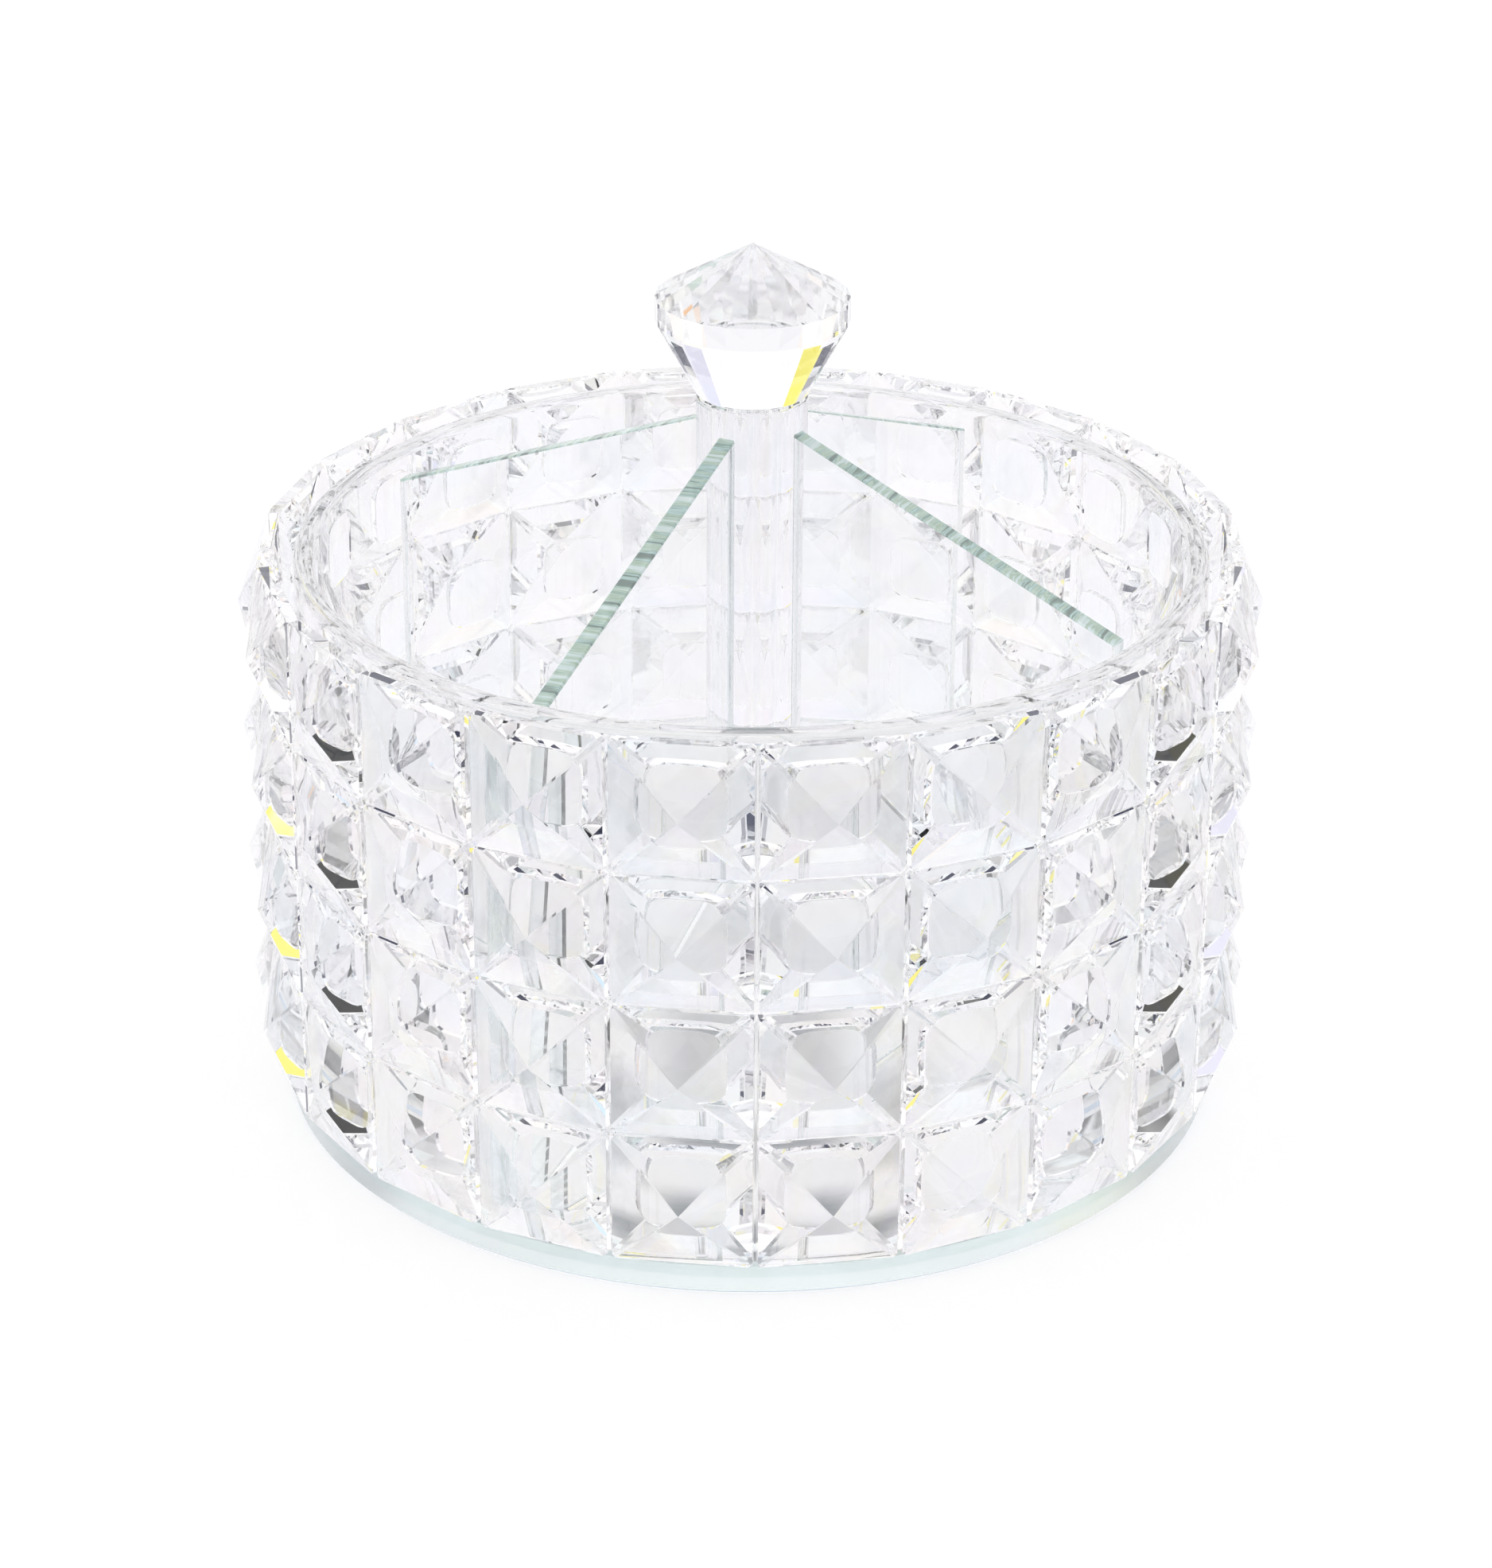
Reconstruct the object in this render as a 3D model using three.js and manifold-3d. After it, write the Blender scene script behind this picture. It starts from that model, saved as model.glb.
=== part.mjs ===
// A divided crystal powder jar for a vanity table: an open glass tube on a round glass base,
// covered with square pyramid-cut crystals, and a lift-out divider with a crystal knob.
// Millimetres, +Z up, the origin at the middle of the base's underside, the front at -Y.

import * as THREE from 'three';
import { mergeVertices } from 'three/addons/utils/BufferGeometryUtils.js';
import Module from 'manifold-3d';

const wasm = await Module();
wasm.setup();

// ---- Driving dimensions -------------------------------------------------------------------

const joint = 0.3;              // clearance, or the film of clear cement, between two pieces

const baseRadius = 78.3;        // round base plate
const baseThickness = 5.5;
const arris = 0.6;              // the polished edge's small chamfer

const tubeRadius = 74.5;        // outside of the glass tube
const tubeWall = 3.5;
const lipRadius = 1.4;          // fire-polished lip
const rimHeight = 95.0;         // top of the lip above the table

const columns = 22;             // columns of crystals round the tube
const rows = 4;                 // crystals in a column
const crystalSize = 22.0;       // side of the square girdle
const crystalPitch = 22.4;      // from one crystal to the next up the column
const tableSize = 10.6;         // flat back of a crystal, cemented to the tube
const backDepth = 2.8;          // bevelled back, from the table to the girdle
const girdleDepth = 2.0;        // plain band round the crystal
const crownDepth = 4.5;         // four-sided pyramid in front of the girdle
const cementBed = 1.6;          // depth of the clear cement that joins a column

const postRadius = 9.0;         // solid glass rod in the middle
const postTop = 120.6;
const dividerThickness = 3.0;
const dividerReach = 67.4;      // outer edge of a divider, clear of the tube's wall
const dividerInnerHeight = 115.3;   // top edge at the post, above the table
const dividerOuterHeight = 92.4;    // top edge at the tube's wall
const dividerAzimuths = [-29.2, 58.0, 146.9, -119.6];   // degrees from the front, as cemented by hand

const knobFacets = 24;
const knobAzimuth = -1.0;       // one facet edge, degrees from the front
const knobRadius = 15.6;
const knobFootRadius = 9.2;
const knobGirdleBottom = 133.0;
const knobGirdleTop = 136.8;
const knobTop = 145.6;

// ---- Sizes that follow --------------------------------------------------------------------

const floorTop = baseThickness + joint;             // underside of all that stands on the base
const tableDistance = tubeRadius + joint;           // a crystal's flat back, from the axis
const columnHeight = rows * crystalPitch;
const wholeTurn = 2 * Math.PI;

// ---- Materials ----------------------------------------------------------------------------

const crystal = new THREE.MeshStandardMaterial({ name: 'crystal', color: 0xf1eff4, roughness: 0.05, metalness: 0 });
const clearGlass = new THREE.MeshStandardMaterial({ name: 'clear_glass', color: 0xeef1f0, roughness: 0.05, metalness: 0 });
const floatGlass = new THREE.MeshStandardMaterial({ name: 'float_glass', color: 0xb9d3d0, roughness: 0.08, metalness: 0 });

// ---- Helpers ------------------------------------------------------------------------------

const point = (radius, height) => new THREE.Vector2(radius, height);

// A turned piece: the profile's points are (radius, height), and its axis is +Z.
function turned(profile, facets) {
  const geometry = new THREE.LatheGeometry(profile, facets);
  geometry.rotateX(Math.PI / 2);
  return geometry;
}

// The points of a quarter round about (radius, height), from one angle to the next.
function quarterRound(radius, height, size, startAngle, steps) {
  const points = [];
  for (let step = 0; step <= steps; step += 1) {
    const angle = startAngle - (step / steps) * (Math.PI / 2);
    points.push(point(radius + size * Math.cos(angle), height + size * Math.sin(angle)));
  }
  return points;
}

// A three.js geometry as a solid that can be joined to others.
function asSolid(geometry) {
  const bare = geometry.clone();
  bare.deleteAttribute('normal');
  bare.deleteAttribute('uv');
  const welded = mergeVertices(bare, 1e-4);
  return new wasm.Manifold(new wasm.Mesh({
    numProp: 3,
    vertProperties: new Float32Array(welded.attributes.position.array),
    triVerts: new Uint32Array(welded.index.array),
  }));
}

function asGeometry(solid) {
  const mesh = solid.getMesh();
  const geometry = new THREE.BufferGeometry();
  geometry.setAttribute('position', new THREE.BufferAttribute(new Float32Array(mesh.vertProperties), 3));
  geometry.setIndex(new THREE.BufferAttribute(new Uint32Array(mesh.triVerts), 1));
  geometry.computeVertexNormals();
  return geometry;
}

function addPiece(group, name, geometry, material) {
  const mesh = new THREE.Mesh(geometry, material);
  mesh.name = name;
  group.add(mesh);
  return mesh;
}

const jar = new THREE.Group();

// ---- Base plate: a disc of float glass with a polished edge ----------------------------------

const basePlateProfile = [
  point(0, 0),
  point(baseRadius - arris, 0),
  point(baseRadius, arris),
  point(baseRadius, baseThickness - arris),
  point(baseRadius - arris, baseThickness),
  point(0, baseThickness),
];
addPiece(jar, 'base_plate', turned(basePlateProfile, 4 * columns), floatGlass);

// ---- Jar tube: a length of thick glass tube with a rounded lip, stood on the base -------------

const boreRadius = tubeRadius - tubeWall;
const lipCentre = rimHeight - lipRadius;
const jarTubeProfile = [
  point(boreRadius, floorTop),
  point(tubeRadius, floorTop),
  ...quarterRound(tubeRadius - lipRadius, lipCentre, lipRadius, Math.PI / 2, 3).reverse(),
  ...quarterRound(boreRadius + lipRadius, lipCentre, lipRadius, Math.PI, 3).reverse(),
  point(boreRadius, floorTop),
];
addPiece(jar, 'jar_tube', turned(jarTubeProfile, 4 * columns), clearGlass);

// ---- Crystals: square, with a bevelled back and a pyramid front, four to a column -------------

// One crystal, turned with four facets. Its flat back is at height 0 and its point is up.
function crystalGeometry() {
  const corner = Math.SQRT1_2;          // half a side to the corner is a side times this
  const girdleBack = backDepth;
  const girdleFront = backDepth + girdleDepth;
  const geometry = turned([
    point(0, 0),
    point(tableSize * corner, 0),
    point(crystalSize * corner, girdleBack),
    point(crystalSize * corner, girdleFront),
    point(0, girdleFront + crownDepth),
  ], 4);
  geometry.rotateZ(Math.PI / 4);
  return geometry;
}

// A column stands at the front, its crystals pointing to -Y, before it is turned into place.
function columnGeometry() {
  const bed = new THREE.BoxGeometry(tableSize, cementBed, columnHeight - crystalPitch + tableSize);
  bed.translate(0, -(tableDistance + cementBed / 2), floorTop + columnHeight / 2);
  let column = asSolid(bed);
  for (let row = 0; row < rows; row += 1) {
    const piece = crystalGeometry();
    piece.rotateX(Math.PI / 2);
    piece.translate(0, -tableDistance, floorTop + (row + 0.5) * crystalPitch);
    column = column.add(asSolid(piece));
  }
  return asGeometry(column);
}

const oneColumn = columnGeometry();
for (let index = 0; index < columns; index += 1) {
  const name = `crystal_column_${String(index + 1).padStart(2, '0')}`;
  const column = addPiece(jar, name, oneColumn, crystal);
  column.rotation.z = (index + 0.5) * (wholeTurn / columns);    // a seam faces the front
}

// ---- Lift-out divider: a glass post, four sloping plates and a crystal knob -------------------

const insert = new THREE.Group();
jar.add(insert);

const postProfile = [
  point(0, floorTop),
  point(postRadius, floorTop),
  point(postRadius, postTop),
  point(0, postTop),
];
addPiece(insert, 'centre_post', turned(postProfile, 40), clearGlass);

// A divider's outline in (distance from the axis, height), with its top edge falling outwards.
function dividerGeometry() {
  const innerEdge = postRadius + joint;
  const outline = new THREE.Shape([
    point(innerEdge, floorTop),
    point(dividerReach, floorTop),
    point(dividerReach, dividerOuterHeight),
    point(innerEdge, dividerInnerHeight),
  ]);
  const geometry = new THREE.ExtrudeGeometry(outline, { depth: dividerThickness, bevelEnabled: false });
  geometry.translate(0, 0, -dividerThickness / 2);
  geometry.rotateX(Math.PI / 2);
  geometry.rotateZ(-Math.PI / 2);       // it now reaches from the post towards -Y
  return geometry;
}

const oneDivider = dividerGeometry();
dividerAzimuths.forEach((azimuth, index) => {
  const divider = addPiece(insert, `divider_${index + 1}`, oneDivider, floatGlass);
  divider.rotation.z = THREE.MathUtils.degToRad(azimuth);
});

// The knob is cut like a brilliant with a pointed crown, and narrows to the post below.
const knobProfile = [
  point(0, postTop + joint),
  point(knobFootRadius, postTop + joint),
  point(knobRadius, knobGirdleBottom),
  point(knobRadius, knobGirdleTop),
  point(0, knobTop),
];
const knob = addPiece(insert, 'knob', turned(knobProfile, knobFacets), crystal);
knob.rotation.z = THREE.MathUtils.degToRad(knobAzimuth);

export default jar;
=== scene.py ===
# A divided crystal powder jar: an open glass tube on a round glass base, covered with square
# pyramid-cut crystals, with a lift-out glass divider that ends in a crystal knob.

import math

import bmesh
import bpy
from mathutils import Matrix, Vector


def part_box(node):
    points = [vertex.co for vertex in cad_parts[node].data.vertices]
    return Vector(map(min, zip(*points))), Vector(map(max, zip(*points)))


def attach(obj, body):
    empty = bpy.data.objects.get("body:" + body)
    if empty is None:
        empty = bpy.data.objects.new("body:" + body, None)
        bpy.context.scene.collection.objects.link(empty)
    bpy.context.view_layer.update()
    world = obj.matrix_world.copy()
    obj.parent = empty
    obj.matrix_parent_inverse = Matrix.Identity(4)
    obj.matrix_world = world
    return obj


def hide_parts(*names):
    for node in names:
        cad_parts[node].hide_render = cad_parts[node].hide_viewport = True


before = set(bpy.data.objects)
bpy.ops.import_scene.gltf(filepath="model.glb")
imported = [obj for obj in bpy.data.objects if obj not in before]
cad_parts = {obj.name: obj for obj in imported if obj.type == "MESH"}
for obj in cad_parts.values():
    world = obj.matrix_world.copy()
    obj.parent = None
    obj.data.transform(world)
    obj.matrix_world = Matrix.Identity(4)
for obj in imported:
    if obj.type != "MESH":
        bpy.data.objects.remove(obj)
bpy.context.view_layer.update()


# ---- Base plate ---------------------------------------------------------------------------------
# One round disc of clear float glass. Its faces are colourless, and its ground and polished edge
# shows the green of the glass, with painted shade: greyer along the upper band and dark blue on the
# lower arris.

BASE_ARRIS = 0.0006
LOWER_ARRIS = 0.0004
UPPER_BAND = 0.0026             # the upper part of the edge is painted greyer as shade, and the lower part paler
FLAT_FACE = 0.9                 # the share of a normal along an axis from which a face lies across it
UNDERCUT = -0.3                 # faces whose normals point down more than this face the table and get painted shade
ROUND = 176                     # flats round a turned glass piece
WHOLE_TURN = 2 * math.pi
SAME_POINT = 1e-7

base_low, base_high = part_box("base_plate")
base_radius = base_high.x
base_top = base_high.z


def loft(name, rings, joined=False, smooth_below=15):
    """A closed mesh through rings of points. The ends are capped, or joined to each other."""
    shell = bmesh.new()
    rows = [[shell.verts.new(point) for point in ring] for ring in rings]
    pairs = list(zip(rows, rows[1:]))
    if joined:
        pairs.append((rows[-1], rows[0]))
    for lower, upper in pairs:
        for here in range(len(lower)):
            after = (here + 1) % len(lower)
            shell.faces.new((lower[here], lower[after], upper[after], upper[here]))
    if not joined:
        shell.faces.new(list(reversed(rows[0])))
        shell.faces.new(rows[-1])
    bmesh.ops.remove_doubles(shell, verts=shell.verts, dist=SAME_POINT)
    bmesh.ops.dissolve_degenerate(shell, dist=SAME_POINT, edges=shell.edges)
    bmesh.ops.recalc_face_normals(shell, faces=shell.faces)
    mesh = bpy.data.meshes.new(name)
    shell.to_mesh(mesh)
    shell.free()
    mesh.shade_smooth()
    mesh.set_sharp_from_angle(angle=math.radians(smooth_below))
    return mesh


def turned_rings(profile, flats=ROUND, start=0.0):
    """The rings of a turned piece. The profile's points are (radius, height)."""
    rings = []
    for radius, height in profile:
        ring = []
        for step in range(flats):
            turn = start + WHOLE_TURN * step / flats
            ring.append((radius * math.sin(turn), -radius * math.cos(turn), height))
        rings.append(ring)
    return rings


def show(name, mesh, body, stands_for, slot, *materials):
    """Places a finished piece, which rides on a body and stands for its plain CAD piece."""
    piece = bpy.data.objects.new(name, mesh)
    bpy.context.collection.objects.link(piece)
    for material in materials:
        if material.name not in mesh.materials:
            mesh.materials.append(material)
    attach(piece, body)
    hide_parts(stands_for)
    return piece


def node_group(name, inputs, outputs):
    """An empty shader group. Each input has its first value, and each output its socket type."""
    group = bpy.data.node_groups.new(name, "ShaderNodeTree")
    for label, value in inputs.items():
        kind = "NodeSocketFloat" if isinstance(value, float) else "NodeSocketVector"
        socket = group.interface.new_socket(label, in_out="INPUT", socket_type=kind)
        socket.default_value = value
    for label, kind in outputs.items():
        group.interface.new_socket(label, in_out="OUTPUT", socket_type=kind)
    group.nodes.new("NodeGroupInput")
    group.nodes.new("NodeGroupOutput")
    return group


def colour_ramp(nodes, stops):
    """A ramp through its (place, colour) stops."""
    ramp = nodes.new("ShaderNodeValToRGB")
    elements = ramp.color_ramp.elements
    for element, (place, colour) in zip(elements, (stops[0], stops[-1])):
        element.position = place
        element.color = (*colour, 1)
    for place, colour in stops[1:-1]:
        elements.new(place).color = (*colour, 1)
    return ramp


HAZE_SCALE = 35.0
HAZE_STARTS = 0.45              # the noise value above which the glass begins to haze
HAZE_FULL = 0.8


def build_polish():
    """Polished glass is never quite flat or clean: a slow ripple, fine draw lines and faint haze."""
    group = node_group(
        "polish",
        {"Ripple Scale": 60.0, "Line Stretch": 1.0},
        {"Height": "NodeSocketFloat", "Haze": "NodeSocketFloat"},
    )
    nodes, links = group.nodes, group.links
    given, out = nodes["Group Input"], nodes["Group Output"]
    where = nodes.new("ShaderNodeTexCoord")
    stretch = nodes.new("ShaderNodeVectorMath")
    stretch.operation = "MULTIPLY"
    squeeze = nodes.new("ShaderNodeCombineXYZ")
    squeeze.inputs["X"].default_value = 1.0
    squeeze.inputs["Y"].default_value = 1.0
    links.new(given.outputs["Line Stretch"], squeeze.inputs["Z"])
    links.new(where.outputs["Object"], stretch.inputs[0])
    links.new(squeeze.outputs["Vector"], stretch.inputs[1])
    ripple = nodes.new("ShaderNodeTexNoise")
    ripple.inputs["Detail"].default_value = 0.0
    links.new(stretch.outputs["Vector"], ripple.inputs["Vector"])
    links.new(given.outputs["Ripple Scale"], ripple.inputs["Scale"])
    links.new(ripple.outputs["Fac"], out.inputs["Height"])
    haze = nodes.new("ShaderNodeTexNoise")
    haze.inputs["Scale"].default_value = HAZE_SCALE
    haze.inputs["Detail"].default_value = 1.0
    links.new(where.outputs["Object"], haze.inputs["Vector"])
    links.new(haze.outputs["Fac"], out.inputs["Haze"])
    return group


POLISH = build_polish()


def glass(name, clean, cloudy, ior, ripple_scale=60.0, line_stretch=1.0, ripple_height=0.0, haze=0.0):
    """Clear glass whose tint drifts from clean to cloudy. It may ripple and haze a little."""
    material = bpy.data.materials.new(name)
    material.use_nodes = True
    nodes, links = material.node_tree.nodes, material.node_tree.links
    shader = nodes["Principled BSDF"]
    shader.inputs["Transmission Weight"].default_value = 1.0
    shader.inputs["IOR"].default_value = ior
    shader.inputs["Roughness"].default_value = 0.0
    polish = nodes.new("ShaderNodeGroup")
    polish.node_tree = POLISH
    polish.inputs["Ripple Scale"].default_value = ripple_scale
    polish.inputs["Line Stretch"].default_value = line_stretch
    tint = nodes.new("ShaderNodeMix")
    tint.data_type = "RGBA"
    tint.inputs["A"].default_value = (*clean, 1)
    tint.inputs["B"].default_value = (*cloudy, 1)
    links.new(polish.outputs["Haze"], tint.inputs["Factor"])
    links.new(tint.outputs["Result"], shader.inputs["Base Color"])
    if haze > 0:
        spread = nodes.new("ShaderNodeMapRange")
        spread.inputs["From Min"].default_value = HAZE_STARTS
        spread.inputs["From Max"].default_value = HAZE_FULL
        spread.inputs["To Max"].default_value = haze
        links.new(polish.outputs["Haze"], spread.inputs["Value"])
        links.new(spread.outputs["Result"], shader.inputs["Roughness"])
    if ripple_height > 0:
        bump = nodes.new("ShaderNodeBump")
        bump.inputs["Strength"].default_value = 1.0
        bump.inputs["Distance"].default_value = ripple_height
        links.new(polish.outputs["Height"], bump.inputs["Height"])
        links.new(bump.outputs["Normal"], shader.inputs["Normal"])
    return material


FLOAT_IOR = 1.52
STREAK_DRIFT = 0.12             # how much a streak wanders off its straight line
STREAK_RELIEF = 0.0001
# Colours along a cut edge, partly the green of the glass and partly painted reflections seen within it.
STREAKS = (
    (0.36, (0.07, 0.14, 0.12)),
    (0.41, (0.24, 0.40, 0.32)),
    (0.45, (0.52, 0.76, 0.78)),
    (0.48, (0.22, 0.38, 0.30)),
    (0.52, (0.58, 0.76, 0.66)),
    (0.55, (0.34, 0.50, 0.34)),
    (0.60, (0.66, 0.84, 0.84)),
    (0.66, (0.78, 0.90, 0.90)),
)


def build_edge_streaks():
    """A sawn and polished glass edge: bands of sea green, teal and near black along its run, partly the
    green of the glass and partly painted reflections seen within the edge.
    """
    group = node_group(
        "edge_streaks",
        {"Streak Scale": 300.0},
        {"Color": "NodeSocketColor", "Height": "NodeSocketFloat"},
    )
    nodes, links = group.nodes, group.links
    given, out = nodes["Group Input"], nodes["Group Output"]
    where = nodes.new("ShaderNodeTexCoord")
    part = nodes.new("ShaderNodeSeparateXYZ")
    links.new(where.outputs["Object"], part.inputs["Vector"])
    flat = nodes.new("ShaderNodeCombineXYZ")
    links.new(part.outputs["X"], flat.inputs["X"])
    links.new(part.outputs["Y"], flat.inputs["Y"])
    run = nodes.new("ShaderNodeVectorMath")
    run.operation = "LENGTH"
    links.new(flat.outputs["Vector"], run.inputs[0])
    drift = nodes.new("ShaderNodeVectorMath")
    drift.operation = "SCALE"
    drift.inputs["Scale"].default_value = STREAK_DRIFT
    links.new(where.outputs["Object"], drift.inputs[0])
    along = nodes.new("ShaderNodeCombineXYZ")
    links.new(run.outputs["Value"], along.inputs["X"])
    place = nodes.new("ShaderNodeVectorMath")
    links.new(along.outputs["Vector"], place.inputs[0])
    links.new(drift.outputs["Vector"], place.inputs[1])
    streak = nodes.new("ShaderNodeTexNoise")
    streak.inputs["Detail"].default_value = 5.0
    streak.inputs["Distortion"].default_value = 0.6
    links.new(place.outputs["Vector"], streak.inputs["Vector"])
    links.new(given.outputs["Streak Scale"], streak.inputs["Scale"])
    ramp = colour_ramp(nodes, STREAKS)
    links.new(streak.outputs["Fac"], ramp.inputs["Fac"])
    links.new(ramp.outputs["Color"], out.inputs["Color"])
    links.new(streak.outputs["Fac"], out.inputs["Height"])
    return group


EDGE_STREAKS = build_edge_streaks()


def glass_edge(name, streak_scale, transmission, paleness, pale_colour=(0.93, 0.97, 0.97), frost=0.08):
    """The edge of float glass, where the eye looks down its green length. Paleness hides the streaks."""
    material = bpy.data.materials.new(name)
    material.use_nodes = True
    nodes, links = material.node_tree.nodes, material.node_tree.links
    shader = nodes["Principled BSDF"]
    shader.inputs["Transmission Weight"].default_value = transmission
    shader.inputs["IOR"].default_value = FLOAT_IOR
    shader.inputs["Roughness"].default_value = frost
    streaks = nodes.new("ShaderNodeGroup")
    streaks.node_tree = EDGE_STREAKS
    streaks.inputs["Streak Scale"].default_value = streak_scale
    pale = nodes.new("ShaderNodeMix")
    pale.data_type = "RGBA"
    pale.inputs["Factor"].default_value = paleness
    pale.inputs["B"].default_value = (*pale_colour, 1)
    links.new(streaks.outputs["Color"], pale.inputs["A"])
    links.new(pale.outputs["Result"], shader.inputs["Base Color"])
    bump = nodes.new("ShaderNodeBump")
    bump.inputs["Distance"].default_value = STREAK_RELIEF
    links.new(streaks.outputs["Height"], bump.inputs["Height"])
    links.new(bump.outputs["Normal"], shader.inputs["Normal"])
    return material


def paint_faces(mesh, wanted, material):
    """Gives the material to the faces for which wanted is true."""
    mesh.materials.append(material)
    for face in mesh.polygons:
        if wanted(face):
            face.material_index = len(mesh.materials) - 1


base_clear = glass(
    "base_clear", (0.99, 0.995, 0.995), (0.975, 0.985, 0.985), FLOAT_IOR,
    ripple_scale=30.0, ripple_height=0.00001, haze=0.02,
)
base_edge = glass_edge(
    "base_edge", streak_scale=150.0, transmission=1.0, paleness=0.9,
    pale_colour=(0.94, 0.98, 0.985), frost=0.24,
)
# Painted shade: a greyer copy of the edge for its upper band.
base_edge_shaded = glass_edge(
    "base_edge_shaded", streak_scale=150.0, transmission=1.0, paleness=0.8,
    pale_colour=(0.78, 0.875, 0.90), frost=0.24,
)
# Painted shade: a dark blue copy of the edge for its lower arris, where the disc meets the table.
base_arris_shaded = glass_edge(
    "base_arris_shaded", streak_scale=90.0, transmission=0.9, paleness=0.8,
    pale_colour=(0.42, 0.56, 0.78), frost=0.3,
)
base_mesh = loft("base_plate_glass", turned_rings([
    (base_radius - LOWER_ARRIS, base_low.z),
    (base_radius, base_low.z + LOWER_ARRIS),
    (base_radius, base_top - UPPER_BAND),
    (base_radius, base_top - BASE_ARRIS),
    (base_radius - BASE_ARRIS, base_top),
]))
base_mesh.materials.append(base_clear)


def on_base_edge(face):
    """The two arrises and the wall of the disc."""
    return abs(face.normal.z) < FLAT_FACE


band_low = base_top - UPPER_BAND
paint_faces(base_mesh, on_base_edge, base_edge)
paint_faces(base_mesh, lambda face: on_base_edge(face) and face.center.z > band_low, base_edge_shaded)
paint_faces(base_mesh, lambda face: on_base_edge(face) and face.normal.z < UNDERCUT, base_arris_shaded)
show("base_disc", base_mesh, "jar", "base_plate", "float_glass")


# ---- Jar tube -----------------------------------------------------------------------------------
# A length of thick clear glass tube, cut square at the bottom and fire-polished at the mouth, so
# that its lip is round. It stands on the base and carries the crystals on its outside.

TUBE_WALL = 0.0035
LIP_STEPS = 8
FOOT_BITE = 0.0008              # the clear cement carries the tube on into the base
TUBE_IOR = 1.49

tube_low, tube_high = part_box("jar_tube")
tube_radius = tube_high.x
rim = tube_high.z
bore = tube_radius - TUBE_WALL

lip = TUBE_WALL / 2
lip_middle = tube_radius - lip
tube_foot = tube_low.z - FOOT_BITE
tube_profile = [(bore, tube_foot), (tube_radius, tube_foot)]
for step in range(LIP_STEPS + 1):
    sweep = math.pi * step / LIP_STEPS
    tube_profile.append((lip_middle + lip * math.cos(sweep), rim - lip + lip * math.sin(sweep)))
tube_glass = glass(
    "tube_glass", (0.995, 0.995, 1.0), (0.98, 0.98, 0.985), TUBE_IOR,
    ripple_scale=18.0, line_stretch=0.25, ripple_height=0.00002, haze=0.015,
)
tube_mesh = loft("jar_tube_glass", turned_rings(tube_profile), joined=True, smooth_below=30)
show("tube_wall", tube_mesh, "jar", "jar_tube", "clear_glass", tube_glass)


# ---- Crystals -----------------------------------------------------------------------------------
# Square crystals, cut and polished: four flat bevels at the back, a square girdle with clipped
# corners, and a low pyramid in front. A cushion of clear cement holds each one to the tube.

COLUMNS = 22
ROWS = 4
SIDE_POINTS = 9                 # points along one side of a crystal's outline
FLAT_HALF = 0.0050              # half the width of the flat back
CUSHION_HALF = 0.0057           # half the width of the cement, which creeps up the bevels
CUSHION_ROUND = 4.2             # 2 is a circle, and more is squarer
CEMENT_BITE = 0.0009            # the cement carries the flat back on into the tube
CLIP = 0.0006
BEVEL_DEPTH = 0.0028
GIRDLE_DEPTH = 0.0020
SEAM = 0.0004                   # between two crystals in a column
CRYSTAL_IOR = 1.54
# Painted fire: pale rainbow tints painted into the crystal's colour.
FIRE_SCALE = 75.0
FIRE_STRENGTH = 0.3
FIRE = (
    (0.34, (0.88, 0.95, 1.0)),
    (0.40, (1.0, 1.0, 1.0)),
    (0.47, (0.96, 0.94, 1.0)),
    (0.52, (1.0, 1.0, 1.0)),
    (0.60, (1.0, 0.99, 0.90)),
    (0.64, (1.0, 0.93, 0.84)),
    (0.68, (1.0, 0.93, 0.95)),
)

side_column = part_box("crystal_column_06")       # the column that faces +X
crystal_back = side_column[0].x
crystal_tip = side_column[1].x
crystal_half = side_column[1].y
crystals_low = side_column[0].z
crystal_pitch = (side_column[1].z - crystals_low + SEAM) / ROWS


def crystal_outline():
    """The clipped square of the girdle, as (across, up) points."""
    points = []
    reach = crystal_half - CLIP
    for side in range(4):
        turn = Matrix.Rotation(side * math.pi / 2, 2)
        for step in range(SIDE_POINTS):
            along = -reach + 2 * reach * step / (SIDE_POINTS - 1)
            points.append(turn @ Vector((crystal_half, along)))
    return points


def cushion_point(point):
    """The point of the cement's outline that lies in the same direction."""
    direction = point.normalized()
    size = (abs(direction.x) ** CUSHION_ROUND + abs(direction.y) ** CUSHION_ROUND) ** (1 / CUSHION_ROUND)
    return direction * (CUSHION_HALF / size)


def bevel_rise(point):
    """How far in front of the flat back the bevels lie at this point."""
    past_flat = max(abs(point.x), abs(point.y)) - FLAT_HALF
    return max(0.0, past_flat) * BEVEL_DEPTH / (crystal_half - FLAT_HALF)


def crystal_rings(up):
    """One crystal that faces the front, its middle at height up, from the cement to its point."""
    outline = crystal_outline()
    cushion = [cushion_point(point) for point in outline]
    rings = [[(point.x, -(crystal_back - CEMENT_BITE), up + point.y) for point in cushion]]
    rings.append([(point.x, -(crystal_back + bevel_rise(point)), up + point.y) for point in cushion])
    for out in (crystal_back + BEVEL_DEPTH, crystal_back + BEVEL_DEPTH + GIRDLE_DEPTH):
        rings.append([(point.x, -out, up + point.y) for point in outline])
    rings.append([(0, -crystal_tip, up)] * len(outline))
    return rings


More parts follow.
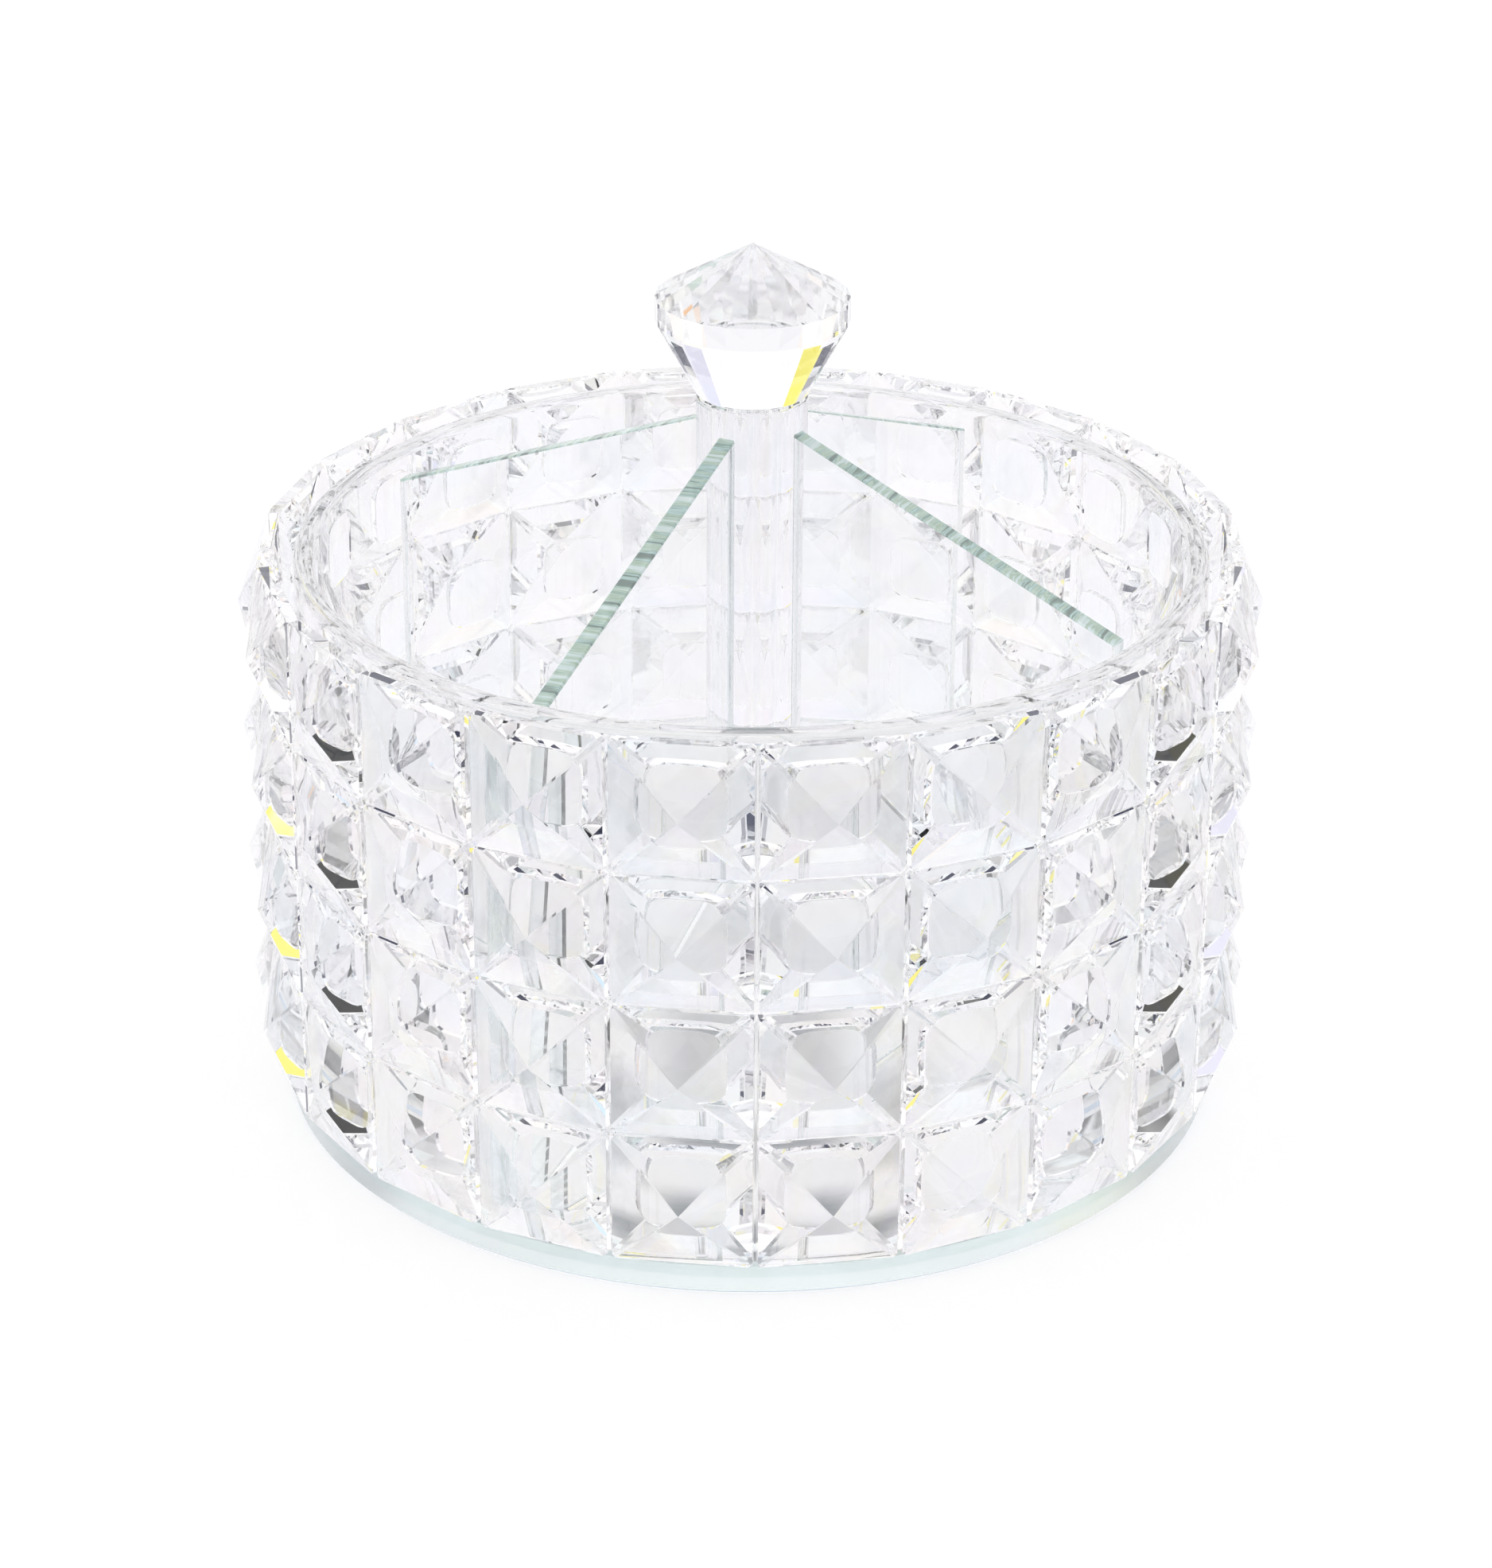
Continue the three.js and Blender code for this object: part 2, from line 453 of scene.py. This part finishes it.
def add_fire(material):
    """Cut crystal splits the light into colours. Here that fire is painted: the glass's tint drifts
    through pale colours of the rainbow.
    """
    nodes, links = material.node_tree.nodes, material.node_tree.links
    shader = nodes["Principled BSDF"]
    where = nodes.new("ShaderNodeTexCoord")
    drift = nodes.new("ShaderNodeTexNoise")
    drift.inputs["Scale"].default_value = FIRE_SCALE
    drift.inputs["Detail"].default_value = 0.0
    links.new(where.outputs["Object"], drift.inputs["Vector"])
    ramp = colour_ramp(nodes, FIRE)
    links.new(drift.outputs["Fac"], ramp.inputs["Fac"])
    tinted = nodes.new("ShaderNodeMix")
    tinted.data_type = "RGBA"
    tinted.blend_type = "MULTIPLY"
    tinted.inputs["Factor"].default_value = FIRE_STRENGTH
    links.new(shader.inputs["Base Color"].links[0].from_socket, tinted.inputs["A"])
    links.new(ramp.outputs["Color"], tinted.inputs["B"])
    links.new(tinted.outputs["Result"], shader.inputs["Base Color"])


crystal_glass = glass("crystal_glass", (0.998, 0.998, 1.0), (0.988, 0.986, 0.992), CRYSTAL_IOR)
add_fire(crystal_glass)
for column in range(COLUMNS):
    node = f"crystal_column_{column + 1:02d}"
    turn = Matrix.Rotation((column + 0.5) * WHOLE_TURN / COLUMNS, 4, "Z")
    for row in range(ROWS):
        name = f"crystal_{column + 1:02d}_{row + 1}"
        mesh = loft(name, crystal_rings(crystals_low + (row + 0.5) * crystal_pitch - SEAM / 2))
        mesh.transform(turn)
        show(name, mesh, "jar", node, "cut_crystal", crystal_glass)


# ---- Centre post --------------------------------------------------------------------------------
# A solid glass rod with its ends ground flat. It carries the four divider plates and the knob, and
# bends what is behind it like a lens.

POST_ARRIS = 0.0004
POST_FLATS = 96

post_low, post_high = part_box("centre_post")
post_radius = post_high.x
post_glass = glass(
    "post_glass", (0.99, 0.99, 0.995), (0.975, 0.975, 0.98), TUBE_IOR,
    ripple_scale=120.0, line_stretch=0.06, ripple_height=0.000012, haze=0.01,
)
post_mesh = loft("centre_post_glass", turned_rings([
    (post_radius - POST_ARRIS, post_low.z),
    (post_radius, post_low.z + POST_ARRIS),
    (post_radius, post_high.z - POST_ARRIS),
    (post_radius - POST_ARRIS, post_high.z),
], flats=POST_FLATS))
show("post_rod", post_mesh, "divider_insert", "centre_post", "clear_glass", post_glass)


# ---- Divider plates -----------------------------------------------------------------------------
# Four plates of 3 mm float glass, cemented to the post by one edge. The top edges fall outwards,
# and the outer edges stop short of the tube. The cut edges are streaked green, partly with painted
# reflections seen within the edge.

DIVIDERS = 4
PLATE_HALF = 0.0015
PLATE_ARRIS = 0.0003
OUTER_TOP = 0.0924              # height of the top edge at the tube's wall
INNER_GAP = 0.0003              # film of cement at the post
POST_BITE = 0.0007              # the cement carries the plate on into the post
UPWARD = 0.3                    # faces whose normals point up more than this are seen from above

plate_clear = glass(
    "plate_clear", (0.99, 0.995, 0.995), (0.975, 0.982, 0.982), FLOAT_IOR,
    ripple_scale=25.0, ripple_height=0.000008, haze=0.012,
)
plate_edge = glass_edge("plate_edge", streak_scale=650.0, transmission=0.3, paleness=0.20)
plate_edge_side = glass_edge("plate_edge_side", streak_scale=420.0, transmission=1.0, paleness=0.93)


def on_plate_edge(face):
    """The four narrow sides of a plate that faces sideways, with their arrises."""
    return abs(face.normal.x) < FLAT_FACE


def plate_rings(reach, low, inner_top):
    """A plate that reaches from the post to the front, as rings from one of its faces to the other."""
    inner = post_radius - POST_BITE
    outline = [(inner, low), (reach, low), (reach, OUTER_TOP), (inner, inner_top)]
    middle = Vector((sum(x for x, _ in outline) / 4, sum(z for _, z in outline) / 4))
    rings = []
    for across, pull in (
        (-PLATE_HALF, PLATE_ARRIS),
        (-PLATE_HALF + PLATE_ARRIS, 0.0),
        (PLATE_HALF - PLATE_ARRIS, 0.0),
        (PLATE_HALF, PLATE_ARRIS),
    ):
        ring = []
        for x, z in outline:
            toward = middle - Vector((x, z))
            along = x + math.copysign(pull, toward.x)
            up = z + math.copysign(pull, toward.y)
            ring.append((across, -along, up))
        rings.append(ring)
    return rings


for number in range(1, DIVIDERS + 1):
    plate_low, plate_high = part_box(f"divider_{number}")
    plate_middle = (plate_low + plate_high) / 2
    heading = math.atan2(plate_middle.x, -plate_middle.y)
    half_span = math.hypot(plate_middle.x, plate_middle.y)
    plate_reach = 2 * half_span - post_radius - INNER_GAP
    mesh = loft(f"divider_glass_{number}", plate_rings(plate_reach, plate_low.z, plate_high.z))
    mesh.materials.append(plate_clear)
    paint_faces(mesh, on_plate_edge, plate_edge_side)
    paint_faces(mesh, lambda face: on_plate_edge(face) and face.normal.z > UPWARD, plate_edge)
    mesh.transform(Matrix.Rotation(heading, 4, "Z"))
    show(f"divider_plate_{number}", mesh, "divider_insert", f"divider_{number}", "float_glass")


# ---- Knob ---------------------------------------------------------------------------------------
# One block of crystal, cut with a pointed crown, a narrow girdle and long flats that taper to the
# post. All its facets are flat and polished, and the crown's facets are tinted grey as painted shade.
# The divider is lifted out by it.

KNOB_FLATS = 24
KNOB_EDGE = math.radians(-1.0)  # the bearing of the edge between two flats that is nearest the front
KNOB_RADIUS = 0.0156
KNOB_FOOT = 0.0092
KNOB_SEAT = 0.0087              # the clear cement carries this much of the foot on into the post
SEAT_BITE = 0.0010
GIRDLE_LOW = 0.1330
GIRDLE_HIGH = 0.1368
KNOB_IOR = 1.56
CROWN_ROUGHNESS = 0.06          # the many cuts below blur what is seen through the crown

knob_low, knob_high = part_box("knob")
knob_glass = glass("knob_glass", (0.998, 0.998, 1.0), (0.985, 0.985, 0.99), KNOB_IOR)
# The crown is a grey copy of the knob's glass: painted shade.
knob_crown_shaded = glass("knob_crown_shaded", (0.91, 0.91, 0.92), (0.85, 0.85, 0.87), KNOB_IOR)
knob_crown_shaded.node_tree.nodes["Principled BSDF"].inputs["Roughness"].default_value = CROWN_ROUGHNESS
knob_mesh = loft("knob_crystal", turned_rings([
    (KNOB_SEAT, knob_low.z - SEAT_BITE),
    (KNOB_SEAT, knob_low.z),
    (KNOB_FOOT, knob_low.z),
    (KNOB_RADIUS, GIRDLE_LOW),
    (KNOB_RADIUS, GIRDLE_HIGH),
    (0.0, knob_high.z),
], flats=KNOB_FLATS, start=KNOB_EDGE), smooth_below=2)
knob_mesh.materials.append(knob_glass)
paint_faces(knob_mesh, lambda face: face.normal.z > UPWARD, knob_crown_shaded)
show("knob_brilliant", knob_mesh, "divider_insert", "knob", "knob_crystal")


# ---- Table, light and camera --------------------------------------------------------------------
# A plain white table in a white light tent. The table glows a little with its own light, as painted
# light. The camera sees it plain white; through the glass it shows painted shade: a painted dark band
# in front, painted shade under the jar and painted shadows of the tube and the post. Cards in the tent
# put glints in the cuts.

TABLE_SIZE = 6.0
TABLE_DROP = 0.0002             # keeps the table clear of the base's underside
# Where the painted shade lies on the table: a dark band in front, shade under the jar and painted
# shadows of the tube and the post, in rings near the middle at the front.
FRONT_FADE = (-0.19, -0.13)     # each fade runs from where its mask is 0 to where it is 1
JAR_FADE = (0.065, 0.15)
TUBE_SHADOW = ((0.0585, 0.063), (0.078, 0.071))
POST_SHADOW = ((0.027, 0.035), (0.052, 0.046))
SHADOW_WIDTH = (0.021, 0.010)
SHADOW_DEPTH = (0.0, -0.02)

bpy.ops.mesh.primitive_plane_add(size=TABLE_SIZE, location=(0, 0, base_low.z - TABLE_DROP))
table = bpy.context.object
table.name = "table"
table_paint = bpy.data.materials.new("table_paint")
table_paint.use_nodes = True
paint_nodes, paint_links = table_paint.node_tree.nodes, table_paint.node_tree.links
table_shader = paint_nodes["Principled BSDF"]
table_shader.inputs["Roughness"].default_value = 0.8
table_shader.inputs["Specular IOR Level"].default_value = 0.0
# Painted light: the table glows with its own light.
table_shader.inputs["Emission Strength"].default_value = 1.0


def fade(value, start, end):
    """Rises smoothly from 0 to 1 as the value goes from start to end."""
    node = paint_nodes.new("ShaderNodeMapRange")
    node.interpolation_type = "SMOOTHSTEP"
    node.inputs["From Min"].default_value = start
    node.inputs["From Max"].default_value = end
    paint_links.new(value, node.inputs["Value"])
    return node.outputs["Result"]


def both(first, second):
    """The product of two masks."""
    node = paint_nodes.new("ShaderNodeMath")
    node.operation = "MULTIPLY"
    paint_links.new(first, node.inputs[0])
    paint_links.new(second, node.inputs[1])
    return node.outputs["Value"]


spot = paint_nodes.new("ShaderNodeTexCoord")
spot_parts = paint_nodes.new("ShaderNodeSeparateXYZ")
paint_links.new(spot.outputs["Object"], spot_parts.inputs["Vector"])
from_axis = paint_nodes.new("ShaderNodeVectorMath")
from_axis.operation = "LENGTH"
paint_links.new(spot.outputs["Object"], from_axis.inputs[0])
aside = paint_nodes.new("ShaderNodeMath")
aside.operation = "ABSOLUTE"
paint_links.new(spot_parts.outputs["X"], aside.inputs[0])
reach, depth = from_axis.outputs["Value"], spot_parts.outputs["Y"]
# Masks of the painted shade and painted shadows.
behind_front = fade(depth, *FRONT_FADE)
clear_of_jar = fade(reach, *JAR_FADE)
near_middle = both(fade(aside.outputs["Value"], *SHADOW_WIDTH), fade(depth, *SHADOW_DEPTH))
tube_shadow = both(both(fade(reach, *TUBE_SHADOW[0]), fade(reach, *TUBE_SHADOW[1])), near_middle)
post_shadow = both(both(fade(reach, *POST_SHADOW[0]), fade(reach, *POST_SHADOW[1])), near_middle)
ray = paint_nodes.new("ShaderNodeLightPath")


def blend(first, second, mask):
    """Goes from the first colour to the second by a mask. A colour may be plain or a socket."""
    node = paint_nodes.new("ShaderNodeMix")
    node.data_type = "RGBA"
    for label, colour in (("A", first), ("B", second)):
        if isinstance(colour, tuple):
            node.inputs[label].default_value = (*colour, 1)
        else:
            paint_links.new(colour, node.inputs[label])
    paint_links.new(mask, node.inputs["Factor"])
    return node.outputs["Result"]


def table_colour(socket, front, tube, post, jar, main, direct):
    """Straight on, the table has the direct colour. Through the glass it has the others: the painted
    shade and painted shadows.
    """
    beneath = blend(blend(jar, post, post_shadow), tube, tube_shadow)
    around = blend(beneath, main, clear_of_jar)
    through = blend(front, around, behind_front)
    paint_links.new(blend(through, direct, ray.outputs["Is Camera Ray"]), socket)


# The painted shade and shadows, in the table's base colour and in its glow.
table_colour(
    table_shader.inputs["Base Color"],
    front=(0.02, 0.02, 0.03),
    tube=(0.12, 0.13, 0.14),
    post=(0.28, 0.28, 0.285),
    jar=(0.45, 0.45, 0.45),
    main=(0.45, 0.45, 0.45),
    direct=(0.45, 0.45, 0.45),
)
table_colour(
    table_shader.inputs["Emission Color"],
    front=(0.02, 0.025, 0.06),
    tube=(0.12, 0.13, 0.14),
    post=(0.28, 0.28, 0.285),
    jar=(0.49, 0.48, 0.49),
    main=(0.545, 0.54, 0.57),
    direct=(0.56, 0.555, 0.56),
)
table_paint.cycles.emission_sampling = "NONE"
table.data.materials.append(table_paint)


CARD_SOFTNESS = 0.15            # the share of a card's half size over which its edge blurs, each way
CARD_SIDE = 0.001               # directions that point away from a card stay out of it


def build_card():
    """The share of a view direction that a soft-edged oblong card about another one covers."""
    group = node_group(
        "card",
        {
            "Direction": (0.0, 0.0, 0.0),
            "Middle": (0.0, 0.0, 1.0),
            "Right": (1.0, 0.0, 0.0),
            "Up": (0.0, 1.0, 0.0),
            "Half Width": 1.0,
            "Half Height": 1.0,
        },
        {"Cover": "NodeSocketFloat"},
    )
    nodes, links = group.nodes, group.links
    given, out = nodes["Group Input"], nodes["Group Output"]

    def measure(axis):
        dot = nodes.new("ShaderNodeVectorMath")
        dot.operation = "DOT_PRODUCT"
        links.new(given.outputs["Direction"], dot.inputs[0])
        links.new(given.outputs[axis], dot.inputs[1])
        return dot.outputs["Value"]

    def calculate(operation, first, second=None):
        node = nodes.new("ShaderNodeMath")
        node.operation = operation
        for socket, value in zip(node.inputs, (first, second)):
            if isinstance(value, float):
                socket.default_value = value
            elif value is not None:
                links.new(value, socket)
        return node.outputs["Value"]

    depth = calculate("MAXIMUM", measure("Middle"), CARD_SIDE)
    across = calculate("ABSOLUTE", calculate("DIVIDE", measure("Right"), depth))
    height = calculate("ABSOLUTE", calculate("DIVIDE", measure("Up"), depth))
    share_across = calculate("DIVIDE", across, given.outputs["Half Width"])
    share_height = calculate("DIVIDE", height, given.outputs["Half Height"])
    edge = nodes.new("ShaderNodeMapRange")
    edge.interpolation_type = "SMOOTHSTEP"
    edge.inputs["From Min"].default_value = 1.0 - CARD_SOFTNESS
    edge.inputs["From Max"].default_value = 1.0 + CARD_SOFTNESS
    edge.inputs["To Min"].default_value = 1.0
    edge.inputs["To Max"].default_value = 0.0
    links.new(calculate("MAXIMUM", share_across, share_height), edge.inputs["Value"])
    links.new(edge.outputs["Result"], out.inputs["Cover"])
    return group


CARD = build_card()
TENT_STRENGTH = 1.08
# Each card's bearing from the back towards +X, its rise, half its width and height, and its colour
CARDS = (
    (180.0, 2.0, 36.0, 13.0, (0.02, 0.025, 0.06)),
    (-141.0, 25.0, 6.0, 7.0, (0.30, 0.30, 0.34)),
    (-154.0, 36.0, 5.0, 4.5, (1.0, 0.90, 0.22)),
    (-154.0, 28.0, 5.0, 3.0, (1.0, 0.60, 0.32)),
    (152.0, 37.0, 5.0, 4.0, (0.68, 0.86, 1.0)),
    (152.0, 30.0, 5.0, 2.5, (1.0, 0.78, 0.74)),
    (-58.0, 30.0, 8.0, 6.0, (0.0, 0.0, 0.0)),
    (52.0, 27.0, 8.0, 6.0, (0.0, 0.0, 0.0)),
    (-38.0, 21.0, 8.0, 7.0, (1.0, 0.92, 0.15)),
    (36.0, 20.0, 8.0, 7.0, (0.80, 0.79, 0.93)),
)

# Pale rainbow bands are painted into the tent near the horizon and are seen only through the glass,
# as painted fire in place of the crystal splitting the table's far edge into colours. Their heights run
# from 0 to 1 between the two levels, which are heights on a sphere of radius 1 about the jar.
BAND_LEVELS = (-0.03, 0.20)
BAND_STRENGTH = 0.4
BANDS = (
    (0.0, (1.0, 1.0, 1.0)),
    (0.12, (1.0, 1.0, 1.0)),
    (0.18, (1.0, 0.86, 0.78)),
    (0.24, (1.0, 0.98, 0.80)),
    (0.30, (0.88, 1.0, 0.95)),
    (0.36, (0.84, 0.92, 1.0)),
    (0.42, (0.92, 0.84, 1.0)),
    (0.48, (1.0, 0.97, 1.0)),
    (0.60, (1.0, 1.0, 1.0)),
    (0.66, (1.0, 0.90, 0.84)),
    (0.72, (0.98, 1.0, 0.88)),
    (0.78, (0.86, 0.96, 1.0)),
    (0.84, (0.94, 0.90, 1.0)),
    (1.0, (1.0, 1.0, 1.0)),
)

world = bpy.data.worlds.new("light_tent")
bpy.context.scene.world = world
world.use_nodes = True
world.cycles.sampling_method = "NONE"
tent = world.node_tree
sky = tent.nodes["Background"]
sky.inputs["Strength"].default_value = TENT_STRENGTH
sight = tent.nodes.new("ShaderNodeTexCoord")
cloth = None
for bearing, rise, half_width, half_height, colour in CARDS:
    card = tent.nodes.new("ShaderNodeGroup")
    card.node_tree = CARD
    turn, lift = math.radians(bearing), math.radians(rise)
    middle = Vector((math.sin(turn) * math.cos(lift), math.cos(turn) * math.cos(lift), math.sin(lift)))
    right = Vector((math.cos(turn), -math.sin(turn), 0))
    card.inputs["Middle"].default_value = middle
    card.inputs["Right"].default_value = right
    card.inputs["Up"].default_value = right.cross(middle)
    card.inputs["Half Width"].default_value = math.tan(math.radians(half_width))
    card.inputs["Half Height"].default_value = math.tan(math.radians(half_height))
    tent.links.new(sight.outputs["Generated"], card.inputs["Direction"])
    hang = tent.nodes.new("ShaderNodeMix")
    hang.data_type = "RGBA"
    hang.inputs["A"].default_value = (1.0, 1.0, 1.0, 1)
    hang.inputs["B"].default_value = (*colour, 1)
    tent.links.new(card.outputs["Cover"], hang.inputs["Factor"])
    if cloth is not None:
        tent.links.new(cloth, hang.inputs["A"])
    cloth = hang.outputs["Result"]
sight_parts = tent.nodes.new("ShaderNodeSeparateXYZ")
tent.links.new(sight.outputs["Generated"], sight_parts.inputs["Vector"])
level = tent.nodes.new("ShaderNodeMapRange")
level.inputs["From Min"].default_value = BAND_LEVELS[0]
level.inputs["From Max"].default_value = BAND_LEVELS[1]
tent.links.new(sight_parts.outputs["Z"], level.inputs["Value"])
bands = colour_ramp(tent.nodes, BANDS)
tent.links.new(level.outputs["Result"], bands.inputs["Fac"])
painted_bands = tent.nodes.new("ShaderNodeMix")
painted_bands.data_type = "RGBA"
painted_bands.blend_type = "MULTIPLY"
painted_bands.inputs["Factor"].default_value = BAND_STRENGTH
tent.links.new(cloth, painted_bands.inputs["A"])
tent.links.new(bands.outputs["Color"], painted_bands.inputs["B"])
straight = tent.nodes.new("ShaderNodeLightPath")
seen = tent.nodes.new("ShaderNodeMix")
seen.data_type = "RGBA"
seen.inputs["B"].default_value = (1.0, 1.0, 1.0, 1)
tent.links.new(straight.outputs["Is Camera Ray"], seen.inputs["Factor"])
tent.links.new(painted_bands.outputs["Result"], seen.inputs["A"])
tent.links.new(seen.outputs["Result"], sky.inputs["Color"])

BOUNCES = 48                    # light goes in and out of many pieces of glass before it leaves the jar
CAMERA_DISTANCE = 0.7475
CAMERA_RISE = math.radians(25.85)
CAMERA_SWING = math.radians(-0.77)
CAMERA_ROLL = math.radians(0.286)
CAMERA_LENS = 107.84            # in mm, on a sensor 36 mm wide
SENSOR_WIDTH = 36.0
AIM = Vector((-0.0007, 0, 0.0506))

away = Vector((
    math.sin(CAMERA_SWING) * math.cos(CAMERA_RISE),
    -math.cos(CAMERA_SWING) * math.cos(CAMERA_RISE),
    math.sin(CAMERA_RISE),
))
lens = bpy.data.cameras.new("camera")
lens.sensor_fit = "HORIZONTAL"
lens.sensor_width = SENSOR_WIDTH
lens.lens = CAMERA_LENS
camera = bpy.data.objects.new("camera", lens)
bpy.context.collection.objects.link(camera)
camera.matrix_world = (
    Matrix.Translation(AIM + away * CAMERA_DISTANCE)
    @ away.to_track_quat("Z", "Y").to_matrix().to_4x4()
    @ Matrix.Rotation(CAMERA_ROLL, 4, "Z")
)
scene = bpy.context.scene
scene.camera = camera
scene.view_settings.view_transform = "Standard"
scene.cycles.max_bounces = BOUNCES
scene.cycles.transmission_bounces = BOUNCES
scene.cycles.glossy_bounces = BOUNCES
scene.cycles.blur_glossy = 0.0
scene.cycles.use_denoising = True
